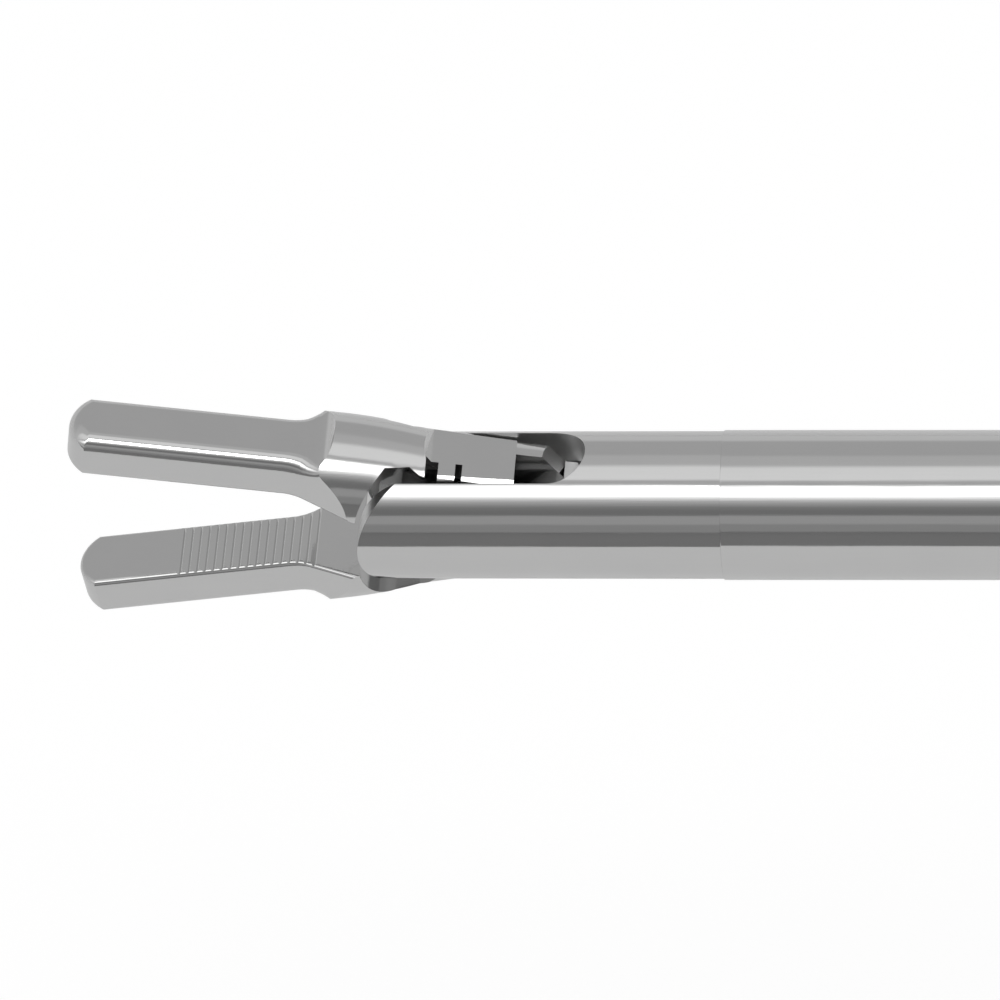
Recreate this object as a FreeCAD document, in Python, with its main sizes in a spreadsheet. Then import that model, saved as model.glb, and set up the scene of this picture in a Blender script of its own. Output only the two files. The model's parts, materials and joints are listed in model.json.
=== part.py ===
import FreeCAD, Part
import math
import os
import re

import Sketcher

# Laparoscopic clip remover, in millimetres.
# The parts are drawn with the jaw pivot at zero and moved back by origin_back when they are
# written, so the written origin is on the shaft axis in the plain tube. The jaws point along -X,
# the handle lies along +X and its rings hang down, towards -Z. The jaws stand open, as at rest.

SIZES = {
    # Shaft tube and its end fork
    "tube_radius": 5.0,
    "tube_bore": 4.2,
    "tube_seat_radius": 4.8,
    "tube_edge": 0.06,
    "origin_back": 10.0,
    "fork_seam": 8.33,
    "spigot_length": 8.0,
    "fork_seam_radius": 4.93,
    "fork_ear_radius": 4.9,
    "fork_bore": 3.0,
    "fork_bore_front": 4.0,
    "slot_half": 2.47,
    "slot_rear": 0.73,
    "ear_reach": 15.9,
    "ear_round": 4.75,
    # Jaws
    "open_angle": 8.0,
    "jaw_reach": 35.7,
    "nose_radius": 3.0,
    "parting_gap": 0.15,
    "blade_width": 4.75,
    "blade_thick": 3.05,
    "blade_round": 1.0,
    "inner_round": 0.35,
    "flare_start": 21.2,
    "flare_radius": 3.0,
    "flare_angle": 28.0,
    "ramp_start": 19.9,
    "ramp_radius": 2.0,
    "shoulder_radius": 4.4,
    "barrel_start": 18.0,
    "barrel_end": 12.0,
    "barrel_radius": 40.0,
    "shank_tail_radius": 3.75,
    "seat_gap": 0.25,
    "seat_radius": 4.7,
    "shank_front_radius": 4.2,
    "shank_split": 0.05,
    "shank_thick": 1.6,
    "shank_end": 5.2,
    "neck_start": 2.6,
    "neck_half": 2.1,
    "shank_chin_at": 14.6,
    "shank_chin": 2.6,
    "shank_deep_at": 12.9,
    "shank_deep": 3.3,
    "shank_slim_at": 9.2,
    "shank_slim": 1.5,
    "bridge_half": 2.35,
    "bridge_front": 15.2,
    "bridge_rear": 5.93,
    "bridge_gap": 0.25,
    "bridge_flat_at": 11.5,
    "bridge_flat": 3.25,
    "bridge_ramp": 0.8,
    "front_notch_at": 11.43,
    "front_notch_wide": 0.86,
    "rear_notch_at": 9.64,
    "rear_notch_wide": 0.46,
    "notch_depth": 1.4,
    # Serrations on the blade's inner face
    "tooth_first": 28.7,
    "tooth_pitch": 0.58,
    "tooth_count": 17.0,
    "tooth_depth": 0.13,
    "tooth_wide": 0.4,
    # Jaw pivot and cam drive
    "pivot_radius": 1.0,
    "running_gap": 0.03,
    "cam_closed": 9.1,
    "rod_stroke": 3.5,
    "cam_pin_radius": 0.75,
    "cam_slot_gap": 0.1,
    "cam_slot_shift": 0.068,
    "tine_gap": 0.1,
    "tine_thick": 0.6,
    "tine_half": 1.5,
    "tine_root": 1.0,
    "tine_slot_gap": 0.06,
    "yoke_hub_radius": 2.8,
    "yoke_hub_front": 2.6,
    "yoke_hub_rear": 9.0,
    # Push rod
    "rod_radius": 1.5,
    "rod_stub_radius": 1.0,
    "rod_stub_length": 4.0,
    "guide_length": 4.0,
    "guide_gap": 0.04,
    "guide_first": 60.0,
    "guide_end_gap": 34.0,
    # Flush collar and port
    "collar_front": 274.0,
    "collar_length": 14.0,
    "collar_radius": 7.5,
    "port_height": 19.0,
    "port_radius": 3.3,
    "port_bore": 2.1,
    "flush_hole_radius": 1.5,
    "port_boss_radius": 4.6,
    "port_boss_height": 9.5,
    "port_lug_reach": 4.6,
    "port_lug_thick": 1.6,
    # Hub, knob and bearing
    "hub_space": 2.0,
    "hub_tail": 0.8,
    "hub_radius": 7.0,
    "hub_flange_radius": 9.0,
    "hub_flange_thick": 3.0,
    "knob_length": 20.0,
    "knob_space": 2.0,
    "knob_chamfer": 3.0,
    "knob_nose": 6.0,
    "knob_radius": 13.0,
    "knob_flute_radius": 4.0,
    "knob_flute_depth": 2.0,
    "knob_flutes": 8.0,
    "set_screw_radius": 1.5,
    "set_screw_sink": 0.5,
    "washer_thick": 1.0,
    "washer_radius": 10.0,
    "ring_thick": 1.2,
    "ring_radius": 8.6,
    "ring_groove": 0.8,
    "seal_thick": 3.0,
    "cap_length": 4.0,
    # Rod ball
    "ball_space": 6.5,
    "ball_radius": 2.75,
    "ball_gap": 0.1,
    "neck_gap": 0.5,
    "lock_nut_thick": 2.0,
    "lock_nut_radius": 2.6,
    # Handle
    "head_tail": 13.0,
    "handle_top": 13.0,
    "handle_foot": 23.0,
    "handle_half": 10.6,
    "handle_corner": 4.0,
    "handle_round": 2.4,
    "grip_round": 1.8,
    "bearing_length": 8.0,
    "bearing_gap": 0.05,
    "ring_pocket_radius": 9.2,
    "hub_clearance": 1.5,
    "head_slot_half": 5.5,
    "slot_overrun": 1.0,
    "head_slot_top": 7.5,
    "lever_drop": 14.0,
    "lever_half": 5.2,
    "lever_block_half": 5.4,
    "lever_block_top": 3.5,
    "lever_boss": 6.5,
    "lever_stem_half": 4.0,
    "stem_bite": 4.0,
    "stem_width": 13.0,
    "stem_front_reach": 11.025,
    "stem_rear_reach": 8.82,
    "lever_root_half": 5.5,
    "lever_root_rise": 3.0,
    "lever_foot_front": 12.0,
    "lever_foot_drop": 6.0,
    "lever_foot_rear": 2.0,
    "lever_foot_rise": 12.0,
    "thumb_ring_along": 31.0,
    "thumb_ring_down": 52.3,
    "thumb_ring_bore": 11.5,
    "ring_wall": 4.2,
    "finger_ring_bore": 10.5,
    "finger_top_along": 3.0,
    "finger_top_z": 46.0,
    "finger_low_along": 3.0,
    "finger_low_z": 70.0,
    "screw_radius": 2.5,
    "screw_head_radius": 4.6,
    "screw_head_thick": 1.6,
    "bush_radius": 3.5,
}

# Places that follow from the sizes. Each piece stands off the one before it.
PLACES = {
    "hub_front": "collar_front + collar_length + hub_space",
    "knob_front": "hub_front + hub_flange_thick",
    "knob_rear": "knob_front + knob_length",
    "handle_front": "knob_rear + knob_space",
    "groove_front": "handle_front + bearing_length",
    "hub_rear": "groove_front + ring_thick + hub_tail",
    "tube_rear": "hub_rear - cap_length - seal_thick",
    "head_slot_front": "hub_rear + hub_clearance",
    "ball_rest": "head_slot_front + ball_space",
    "handle_rear": "ball_rest + head_tail",
    "finger_top_x": "handle_front + finger_top_along",
    "finger_low_x": "handle_front - finger_low_along",
    "side_reach": "tube_radius * 6",
    "far": "side_reach * 2",
}
# Edges this close to a level are on it.
NEAR = 0.01

PLANE_ROLES = {"XY": "XY_Plane", "XZ": "XZ_Plane", "YZ": "YZ_Plane"}
# A half circle is already held by its two ends, so its radius gets no constraint.
HALF_TURN_MARGIN = 0.001

document = FreeCAD.newDocument("clip_remover")
sheet = document.addObject("Spreadsheet::Sheet", "sizes")
for row, (alias, value) in enumerate(SIZES.items(), start=1):
    sheet.set(f"A{row}", alias)
    sheet.set(f"B{row}", str(value))
    sheet.setAlias(f"B{row}", alias)
document.recompute()


def linked(text):
    """Writes a size formula with each size's name pointing at its cell in the sheet."""
    def swap(match):
        word = match.group()
        if word in PLACES:
            return f"({linked(PLACES[word])})"
        return f"sizes.{word}" if word in SIZES else word
    return re.sub(r"[a-z_]+", swap, str(text))


def number(text):
    """Works out a size formula."""
    return float(sheet.evalExpression(linked(text)))


def tie(item, field, text):
    """Ties one property of an object to a size formula."""
    item.setExpression(field, linked(text))


def new_body(label):
    body = document.addObject("PartDesign::Body", label)
    body.Label = label
    document.recompute()
    return body


def new_sketch(body, plane, name, offset=None):
    """Makes a sketch on an origin plane of the body, moved along the plane's normal."""
    sketch = body.newObject("Sketcher::SketchObject", name)
    support = [item for item in body.Origin.OriginFeatures if item.Role == PLANE_ROLES[plane]]
    sketch.AttachmentSupport = [(support[0], "")]
    sketch.MapMode = "FlatFace"
    if offset is not None:
        tie(sketch, "AttachmentOffset.Base.z", offset)
    return sketch


def pin_point(sketch, curve, end, across, up):
    """Holds one end of a curve at a place given by two size formulas."""
    for kind, text in (("DistanceX", across), ("DistanceY", up)):
        index = sketch.addConstraint(Sketcher.Constraint(kind, -1, 1, curve, end, number(text)))
        tie(sketch, f"Constraints[{index}]", text)


def arc_between(start, finish, radius, side):
    """Arc of a given radius; side 1 has its centre to the left of the way from start to finish."""
    chord = finish - start
    left = FreeCAD.Vector(-chord.y, chord.x, 0).normalize()
    rise = max(radius ** 2 - (chord.Length / 2) ** 2, 0.0) ** 0.5
    centre = (start + finish) / 2 + left * rise * side
    first, last = (start, finish) if side > 0 else (finish, start)
    x_axis = FreeCAD.Vector(1, 0, 0)
    turn = [(point - centre).getAngle(x_axis) * (1 if point.y >= centre.y else -1) for point in (first, last)]
    circle = Part.Circle(centre, FreeCAD.Vector(0, 0, 1), radius)
    return Part.ArcOfCircle(circle, turn[0], turn[1])


def outline(sketch, path):
    """Draws a closed outline. A step is (across, up) for a line to that point, or
    (across, up, radius, side) for an arc to it."""
    places = [FreeCAD.Vector(number(step[0]), number(step[1]), 0) for step in path]
    first_ends = []
    last_ends = []
    curves = []
    for index, start in enumerate(places):
        step = path[(index + 1) % len(path)]
        finish = places[(index + 1) % len(path)]
        if len(step) == 2:
            curve = sketch.addGeometry(Part.LineSegment(start, finish), False)
            first_ends.append(1)
            last_ends.append(2)
        else:
            curve = sketch.addGeometry(arc_between(start, finish, number(step[2]), step[3]), False)
            if (finish - start).Length < 2 * number(step[2]) - HALF_TURN_MARGIN:
                mark = sketch.addConstraint(Sketcher.Constraint("Radius", curve, number(step[2])))
                tie(sketch, f"Constraints[{mark}]", step[2])
            first_ends.append(1 if step[3] > 0 else 2)
            last_ends.append(2 if step[3] > 0 else 1)
        curves.append(curve)
    for index, step in enumerate(path):
        before = index - 1
        link = Sketcher.Constraint("Coincident", curves[before], last_ends[before], curves[index], first_ends[index])
        sketch.addConstraint(link)
        pin_point(sketch, curves[index], first_ends[index], step[0], step[1])
    return sketch


def circle(sketch, across, up, radius):
    """Draws a full circle."""
    centre = FreeCAD.Vector(number(across), number(up), 0)
    curve = sketch.addGeometry(Part.Circle(centre, FreeCAD.Vector(0, 0, 1), number(radius)), False)
    index = sketch.addConstraint(Sketcher.Constraint("Radius", curve, number(radius)))
    tie(sketch, f"Constraints[{index}]", radius)
    pin_point(sketch, curve, 3, across, up)
    return sketch


def slot_path(x_from, z_from, x_to, z_to, half):
    """Outline of a round-ended slot between two centres."""
    run = f"(({x_to}) - ({x_from}))"
    rise = f"(({z_to}) - ({z_from}))"
    span = f"sqrt({run}^2 + {rise}^2)"
    side_x = f"({half}) * {rise} / {span}"
    side_z = f"({half}) * {run} / {span}"
    return [
        (f"{x_from} + {side_x}", f"{z_from} - {side_z}", half, 1),
        (f"{x_to} + {side_x}", f"{z_to} - {side_z}"),
        (f"{x_to} - {side_x}", f"{z_to} + {side_z}", half, 1),
        (f"{x_from} - {side_x}", f"{z_from} + {side_z}"),
    ]


def grow(body, kind, sketch, name, length, symmetric=False, reversed_way=False):
    """Adds a Pad or a Pocket of a given length."""
    feature = body.newObject(f"PartDesign::{kind}", name)
    feature.Profile = sketch
    tie(feature, "Length", length)
    feature.SideType = "Symmetric" if symmetric else "One side"
    feature.Reversed = reversed_way
    sketch.Visibility = False
    body.Tip = feature
    return feature


def pad(body, sketch, name, length, symmetric=False, reversed_way=False):
    return grow(body, "Pad", sketch, name, length, symmetric, reversed_way)


def pocket(body, sketch, name, length, symmetric=False, reversed_way=False):
    """Cuts a pocket and checks that it took material away."""
    document.recompute()
    before = body.Shape.Volume
    feature = grow(body, "Pocket", sketch, name, length, symmetric, reversed_way)
    document.recompute()
    if body.Shape.Volume >= before:
        raise ValueError(f"{body.Label}: {name} cuts nothing")
    return feature


def turned(body, kind, sketch, name):
    """Adds a Revolution or a Groove about the sketch's horizontal axis."""
    feature = body.newObject(f"PartDesign::{kind}", name)
    feature.Profile = sketch
    feature.ReferenceAxis = (sketch, ["H_Axis"])
    feature.Angle = 360
    body.Tip = feature
    return feature


def round_edges(body, name, radius, chosen):
    """Rounds the edges that a test picks from the body's present shape."""
    document.recompute()
    base = body.Tip
    names = [f"Edge{index}" for index, edge in enumerate(base.Shape.Edges, start=1) if chosen(edge)]
    feature = body.newObject("PartDesign::Fillet", name)
    feature.Base = (base, names)
    tie(feature, "Radius", radius)
    body.Tip = feature
    document.recompute()
    return feature


def turned_part(label, path):
    """A part turned about the shaft axis from half of its section."""
    body = new_body(label)
    turned(body, "Revolution", outline(new_sketch(body, "XZ", f"{label}_section"), path), f"{label}_turned")
    return body


def tube_path(front, rear, bore, radius):
    """Half section of a plain ring or tube on the shaft axis."""
    return [(front, bore), (rear, bore), (rear, radius), (front, radius)]


CAM_OPEN = "(cam_closed + rod_stroke)"
SEAT_REACH = "(ear_reach + seat_gap)"
SEAT_CENTRE = f"({SEAT_REACH} - seat_radius)"
EAR_CENTRE = "(ear_reach - ear_round)"
SLOT_CENTRE = "(slot_rear + slot_half)"
SHANK_OUT = "(shank_split + shank_thick)"
TINE_IN = f"({SHANK_OUT} + tine_gap)"
TINE_OUT = f"({TINE_IN} + tine_thick)"
BLADE_TOP = "(parting_gap + blade_thick)"
TRIM = "(shoulder_radius + 0.4)"
PIN_FLUSH = "(fork_ear_radius + (fork_seam_radius - fork_ear_radius) * ear_reach / (ear_reach + fork_seam))"
BARREL_DROP = "(barrel_radius - sqrt(barrel_radius^2 - (barrel_start - barrel_end)^2))"
LEVER_PIVOT_X = "(ball_rest + rod_stroke / 2)"
THUMB_OUT = "(thumb_ring_bore + ring_wall)"
FINGER_OUT = "(finger_ring_bore + ring_wall)"


def plan_outline():
    """Jaw seen from above: nose, straight blade, flare and full shoulder."""
    half = "(blade_width / 2)"
    nose_back = f"(jaw_reach - nose_radius + sqrt(nose_radius^2 - {half}^2))"
    bend_x = "(flare_start - flare_radius * sin(flare_angle))"
    bend_y = f"({half} + flare_radius * (1 - cos(flare_angle)))"
    full_x = f"({bend_x} - ({TRIM} - {bend_y}) / tan(flare_angle))"
    return [
        (f"-{nose_back}", f"-{half}", "nose_radius", 1),
        ("-flare_start", f"-{half}"),
        (f"-{bend_x}", f"-{bend_y}", "flare_radius", -1),
        (f"-{full_x}", f"-{TRIM}"),
        ("-shank_end", f"-{TRIM}"),
        ("-shank_end", TRIM),
        (f"-{full_x}", TRIM),
        (f"-{bend_x}", bend_y),
        ("-flare_start", half, "flare_radius", -1),
        (f"-{nose_back}", half),
    ]


def shank_outline():
    """Side of the half-width shank that runs back between the ears to the pivot eye."""
    front = f"({SEAT_CENTRE} + shank_front_radius)"
    return [
        (f"-{front}", TRIM),
        (f"-{front}", "0"),
        ("-shank_chin_at", "-shank_chin"),
        ("-shank_deep_at", "-shank_deep"),
        ("-shank_slim_at", "-shank_slim"),
        ("-shank_end", "-shank_slim"),
        ("-neck_start", "-neck_half"),
        ("0", "-neck_half"),
        ("0", "neck_half", "neck_half", 1),
        ("-neck_start", "neck_half"),
        ("-shank_end", TRIM),
    ]


def bridge_outline():
    """Side of the bridge that roofs the slot behind the shoulder, over the other jaw's shank."""
    return [
        ("-bridge_front", TRIM),
        ("-bridge_front", "shank_deep + bridge_gap"),
        ("-shank_deep_at", "shank_deep + bridge_gap"),
        ("-shank_slim_at", "shank_slim + bridge_gap"),
        ("-bridge_rear", "shank_slim + bridge_gap"),
        ("-bridge_rear", TRIM),
    ]


def bridge_top_outline():
    """Side of the cut that leaves the top of the bridge flat."""
    ramp_rise = "(shoulder_radius - bridge_flat)"
    return [
        ("-bridge_flat_at", "bridge_flat"),
        ("-bridge_rear", "bridge_flat"),
        ("-bridge_rear", TRIM),
        (f"-bridge_flat_at - {ramp_rise} * bridge_ramp", "shoulder_radius"),
    ]


def notch_path(place, wide):
    """Small notch in the bridge's near edge, seen from above."""
    front = f"-({place} + {wide} / 2)"
    rear = f"-({place} - {wide} / 2)"
    outside = "-(bridge_half * 2)"
    inside = "-(bridge_half - notch_depth)"
    return [(front, outside), (rear, outside), (rear, inside), (front, inside)]


def make_jaw(label):
    """One jaw in its own frame: eye at the origin, blade along -X, inner face down."""
    body = new_body(label)
    plan = outline(new_sketch(body, "XY", f"{label}_plan", "parting_gap"), plan_outline())
    pad(body, plan, f"{label}_blank", TRIM)
    seat = [
        (f"-{SEAT_CENTRE}", "seat_radius"),
        (f"-{SEAT_REACH}", "0", "seat_radius", 1),
        (f"-{SEAT_CENTRE}", "-seat_radius", "seat_radius", 1),
        ("side_reach", "-seat_radius"),
        ("side_reach", "seat_radius"),
    ]
    seat_cut = outline(new_sketch(body, "XZ", f"{label}_seat"), seat)
    pocket(body, seat_cut, f"{label}_seat_cut", "far", symmetric=True)
    shank = outline(new_sketch(body, "XZ", f"{label}_shank", "-shank_split"), shank_outline())
    pad(body, shank, f"{label}_shank_plate", "shank_thick", reversed_way=True)
    bridge = outline(new_sketch(body, "XZ", f"{label}_bridge"), bridge_outline())
    pad(body, bridge, f"{label}_bridge_pad", "bridge_half * 2", symmetric=True)
    form = [
        ("-side_reach - jaw_reach", "shoulder_radius"),
        ("-barrel_start", "shoulder_radius"),
        ("-barrel_end", f"shoulder_radius - {BARREL_DROP}", "barrel_radius", -1),
        ("-shank_end", "shank_tail_radius"),
        ("side_reach", "shank_tail_radius"),
        ("side_reach", "side_reach"),
        ("-side_reach - jaw_reach", "side_reach"),
    ]
    turned(body, "Groove", outline(new_sketch(body, "XZ", f"{label}_form"), form), f"{label}_turned_form")
    ramp_end = "(ramp_start - ramp_radius)"
    flat = [
        ("-side_reach - jaw_reach", BLADE_TOP),
        ("-ramp_start", BLADE_TOP),
        (f"-{ramp_end}", f"{BLADE_TOP} + ramp_radius", "ramp_radius", 1),
        (f"-{ramp_end}", "side_reach"),
        ("-side_reach - jaw_reach", "side_reach"),
    ]
    flat_cut = outline(new_sketch(body, "XZ", f"{label}_flat"), flat)
    pocket(body, flat_cut, f"{label}_flat_cut", "far", symmetric=True)
    round_edges(body, f"{label}_blade_rounding", "blade_round", is_blade_edge)
    round_edges(body, f"{label}_inner_rounding", "inner_round", is_inner_edge)
    top = outline(new_sketch(body, "XZ", f"{label}_bridge_top"), bridge_top_outline())
    pocket(body, top, f"{label}_bridge_milled", "far", symmetric=True)
    eye = circle(new_sketch(body, "XZ", f"{label}_eye"), "0", "0", "pivot_radius + running_gap")
    pocket(body, eye, f"{label}_eye_bore", "far", symmetric=True)
    cut_cam_slot(body, label)
    for part_name, place, wide in (("front", "front_notch_at", "front_notch_wide"),
                                   ("rear", "rear_notch_at", "rear_notch_wide")):
        notch = outline(new_sketch(body, "XY", f"{label}_{part_name}_notch"), notch_path(place, wide))
        pocket(body, notch, f"{label}_{part_name}_notch_cut", "far", reversed_way=True)
    cut_teeth(body, label)
    return body


def is_blade_edge(edge):
    """True for the blade's outer long edges and the edge round its nose."""
    top = number(BLADE_TOP)
    level = abs(edge.BoundBox.ZMin - top) < NEAR and abs(edge.BoundBox.ZMax - top) < NEAR
    ahead = edge.BoundBox.XMax < -number("flare_start") + NEAR
    return level and ahead


def is_inner_edge(edge):
    """True for the long edges and the nose edge of the blade's inner face."""
    box = edge.BoundBox
    level = abs(box.ZMin - number("parting_gap")) < NEAR and abs(box.ZMax - number("parting_gap")) < NEAR
    ahead = box.XMax < -number("flare_start") + NEAR
    return level and ahead


def cut_cam_slot(body, label):
    """Oblique slot that swings the jaw as the drive pin slides along the shaft."""
    run = f"({CAM_OPEN} * cos(open_angle) - cam_closed)"
    fall = f"({CAM_OPEN} * sin(open_angle))"
    span = f"sqrt({run}^2 + {fall}^2)"
    shift_x = f"cam_slot_shift * {fall} / {span}"
    shift_z = f"cam_slot_shift * {run} / {span}"
    path = slot_path(
        f"(-cam_closed - {shift_x})", f"({shift_z})",
        f"(-{CAM_OPEN} * cos(open_angle) - {shift_x})", f"(-{fall} + {shift_z})",
        "(cam_pin_radius + cam_slot_gap)",
    )
    slot = outline(new_sketch(body, "XZ", f"{label}_cam_slot"), path)
    pocket(body, slot, f"{label}_cam_slot_cut", "far", symmetric=True)


def cut_teeth(body, label):
    """Row of V grooves across the inner face."""
    vee = [
        ("-tooth_first - tooth_wide / 2", "parting_gap"),
        ("-tooth_first + tooth_wide / 2", "parting_gap"),
        ("-tooth_first", "parting_gap + tooth_depth"),
    ]
    sketch = outline(new_sketch(body, "XZ", f"{label}_tooth"), vee)
    first = pocket(body, sketch, f"{label}_tooth_cut", "blade_width * 3", symmetric=True)
    row = body.newObject("PartDesign::LinearPattern", f"{label}_teeth")
    row.Originals = [first]
    axis = [item for item in body.Origin.OriginFeatures if item.Role == "X_Axis"]
    row.Direction = (axis[0], [""])
    tie(row, "Length", "tooth_pitch * (tooth_count - 1)")
    tie(row, "Occurrences", "tooth_count")
    body.Tip = row
    document.recompute()


def place_jaws():
    """The two jaws are the same piece; the lower one is turned over."""
    upper = make_jaw("upper_jaw")
    lower = make_jaw("lower_jaw")
    y_axis = FreeCAD.Vector(0, 1, 0)
    lift = FreeCAD.Rotation(y_axis, number("open_angle"))
    drop = FreeCAD.Rotation(y_axis, -number("open_angle"))
    turn_over = FreeCAD.Rotation(FreeCAD.Vector(1, 0, 0), 180)
    upper.Placement = FreeCAD.Placement(FreeCAD.Vector(0, 0, 0), lift)
    lower.Placement = FreeCAD.Placement(FreeCAD.Vector(0, 0, 0), drop * turn_over)
    return [upper, lower]


def make_end_fork():
    """End piece of the shaft: two rounded ears, a long slot and a spigot for the tube."""
    body = new_body("end_fork")
    turn = [
        ("-ear_reach", "0"),
        ("fork_seam + spigot_length", "0"),
        ("fork_seam + spigot_length", "tube_bore"),
        ("fork_seam", "tube_bore"),
        ("fork_seam", "fork_seam_radius"),
        ("-ear_reach", "fork_ear_radius"),
    ]
    turned(body, "Revolution", outline(new_sketch(body, "XZ", "fork_section"), turn), "fork_turned")
    bore = circle(new_sketch(body, "YZ", "fork_bore_circle", "-fork_bore_front"), "0", "0", "fork_bore")
    pocket(body, bore, "fork_bored", "far", reversed_way=True)
    slot = [
        ("-ear_reach - 1", "-slot_half"),
        (f"-{SLOT_CENTRE}", "-slot_half"),
        (f"-{SLOT_CENTRE}", "slot_half", "slot_half", 1),
        ("-ear_reach - 1", "slot_half"),
    ]
    pocket(body, outline(new_sketch(body, "XY", "fork_slot"), slot), "fork_slotted", "far", symmetric=True)
    nose = [
        ("-ear_reach - 1", "ear_round"),
        ("-ear_reach - 1", "-ear_round"),
        (f"-{EAR_CENTRE}", "-ear_round"),
        ("-ear_reach", "0", "ear_round", -1),
        (f"-{EAR_CENTRE}", "ear_round", "ear_round", -1),
    ]
    pocket(body, outline(new_sketch(body, "XZ", "fork_nose"), nose), "ears_rounded", "far", symmetric=True)
    hole = circle(new_sketch(body, "XZ", "fork_pin_hole"), "0", "0", "pivot_radius")
    pocket(body, hole, "fork_pin_bored", "far", symmetric=True)
    return body


def cylinder(name, radius, length, placement):
    """Plain cylinder tied to two sizes."""
    item = document.addObject("Part::Cylinder", name)
    tie(item, "Radius", radius)
    tie(item, "Height", length)
    item.Placement = placement
    return item


def across_y(x, half, z=0.0):
    """Placement of a cylinder that runs along Y, centred on the shaft's middle plane."""
    return FreeCAD.Placement(FreeCAD.Vector(x, half, z), FreeCAD.Rotation(FreeCAD.Vector(1, 0, 0), 90))


def make_pivot_pin():
    """Jaw pivot pin, ground flush with the fork's round outside."""
    rod = cylinder("pivot_rod", "pivot_radius", "fork_ear_radius * 2", across_y(0, number("fork_ear_radius")))
    along = FreeCAD.Rotation(FreeCAD.Vector(0, 1, 0), 90)
    start = FreeCAD.Vector(-number("fork_ear_radius"), 0, 0)
    round_end = cylinder("pivot_round", PIN_FLUSH, "fork_ear_radius * 2",
                         FreeCAD.Placement(start, along))
    pin = document.addObject("Part::Common", "pivot_pin")
    pin.Base = rod
    pin.Tool = round_end
    pin.Label = "pivot_pin"
    return pin


def make_cam_pin():
    """Drive pin across the yoke's two tines."""
    body = new_body("cam_pin")
    section = circle(new_sketch(body, "XZ", "cam_pin_circle"), f"-{CAM_OPEN}", "0", "cam_pin_radius")
    pad(body, section, "cam_pin_length", f"{TINE_OUT} * 2", symmetric=True)
    return body


def make_drive_yoke():
    """Fork on the push rod: two tines outside the jaw shanks, slotted over the pivot pin."""
    body = new_body("drive_yoke")
    hub = circle(new_sketch(body, "YZ", "yoke_hub", "yoke_hub_front"), "0", "0", "yoke_hub_radius")
    pad(body, hub, "yoke_hub_pad", "yoke_hub_rear - yoke_hub_front")
    tines = [
        (f"-{CAM_OPEN}", "-tine_half", "tine_half", 1),
        ("yoke_hub_front + tine_root", "-tine_half"),
        ("yoke_hub_front + tine_root", "tine_half"),
        (f"-{CAM_OPEN}", "tine_half"),
    ]
    pad(body, outline(new_sketch(body, "XZ", "yoke_tines"), tines), "yoke_tines_pad", f"{TINE_OUT} * 2", symmetric=True)
    gap = [
        (f"-{CAM_OPEN} - side_reach", f"-{TINE_IN}"),
        ("yoke_hub_front", f"-{TINE_IN}"),
        ("yoke_hub_front", TINE_IN),
        (f"-{CAM_OPEN} - side_reach", TINE_IN),
    ]
    pocket(body, outline(new_sketch(body, "XY", "yoke_gap"), gap), "yoke_gap_cut", "far", symmetric=True)
    guide = slot_path("-rod_stroke", "0", "0", "0", "(pivot_radius + tine_slot_gap)")
    pocket(body, outline(new_sketch(body, "XZ", "yoke_guide"), guide), "yoke_guide_cut", "far", symmetric=True)
    hole = circle(new_sketch(body, "XZ", "yoke_pin_hole"), f"-{CAM_OPEN}", "0", "cam_pin_radius")
    pocket(body, hole, "yoke_pin_bored", "far", symmetric=True)
    thread = circle(new_sketch(body, "YZ", "yoke_thread", "yoke_hub_rear - rod_stub_length"), "0", "0",
                    "rod_stub_radius")
    pocket(body, thread, "yoke_threaded", "rod_stub_length", reversed_way=True)
    return body


def make_push_rod():
    """Long rod with a screwed stub at each end."""
    ball_stub = "(ball_rest - ball_radius * 0.5)"
    return turned_part("push_rod", [
        ("yoke_hub_rear - rod_stub_length", "0"),
        (ball_stub, "0"),
        (ball_stub, "rod_stub_radius"),
        ("ball_rest - ball_radius", "rod_stub_radius"),
        ("ball_rest - ball_radius", "rod_radius"),
        ("yoke_hub_rear", "rod_radius"),
        ("yoke_hub_rear", "rod_stub_radius"),
        ("yoke_hub_rear - rod_stub_length", "rod_stub_radius"),
    ])


def make_rod_ball():
    """Ball on the rod's rear end, bored for the stub."""
    body = new_body("rod_ball")
    front = "(sqrt(ball_radius^2 - (rod_stub_radius)^2))"
    path = [
        ("ball_rest - ball_radius * 0.5", "rod_stub_radius"),
        ("ball_rest - ball_radius * 0.5", "0"),
        ("ball_rest + ball_radius", "0"),
        ("ball_rest", "ball_radius", "ball_radius", 1),
        (f"ball_rest - {front}", "rod_stub_radius", "ball_radius", 1),
    ]
    turned(body, "Revolution", outline(new_sketch(body, "XZ", "ball_section"), path), "ball_turned")
    return body


def ring_group(label, radius, bore, length, places):
    """Identical rings on the shaft axis, kept together as one group."""
    along = FreeCAD.Rotation(FreeCAD.Vector(0, 1, 0), 90)
    rings = []
    for index, place in enumerate(places, start=1):
        seat = FreeCAD.Placement(FreeCAD.Vector(place, 0, 0), along)
        ring = document.addObject("Part::Cut", f"{label}_{index}")
        ring.Base = cylinder(f"{label}_disc_{index}", radius, length, seat)
        ring.Tool = cylinder(f"{label}_hole_{index}", bore, length, seat)
        rings.append(ring)
    group = document.addObject("Part::Compound", label)
    group.Links = rings
    group.Label = label
    return group


def make_rod_guides():
    """Guide rings that centre the push rod in the tube."""
    last = "(collar_front - guide_end_gap)"
    places = [number(spot) for spot in ("guide_first", f"(guide_first + {last}) / 2", last)]
    return ring_group("rod_guides", "tube_bore", "rod_radius + guide_gap", "guide_length", places)


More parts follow.
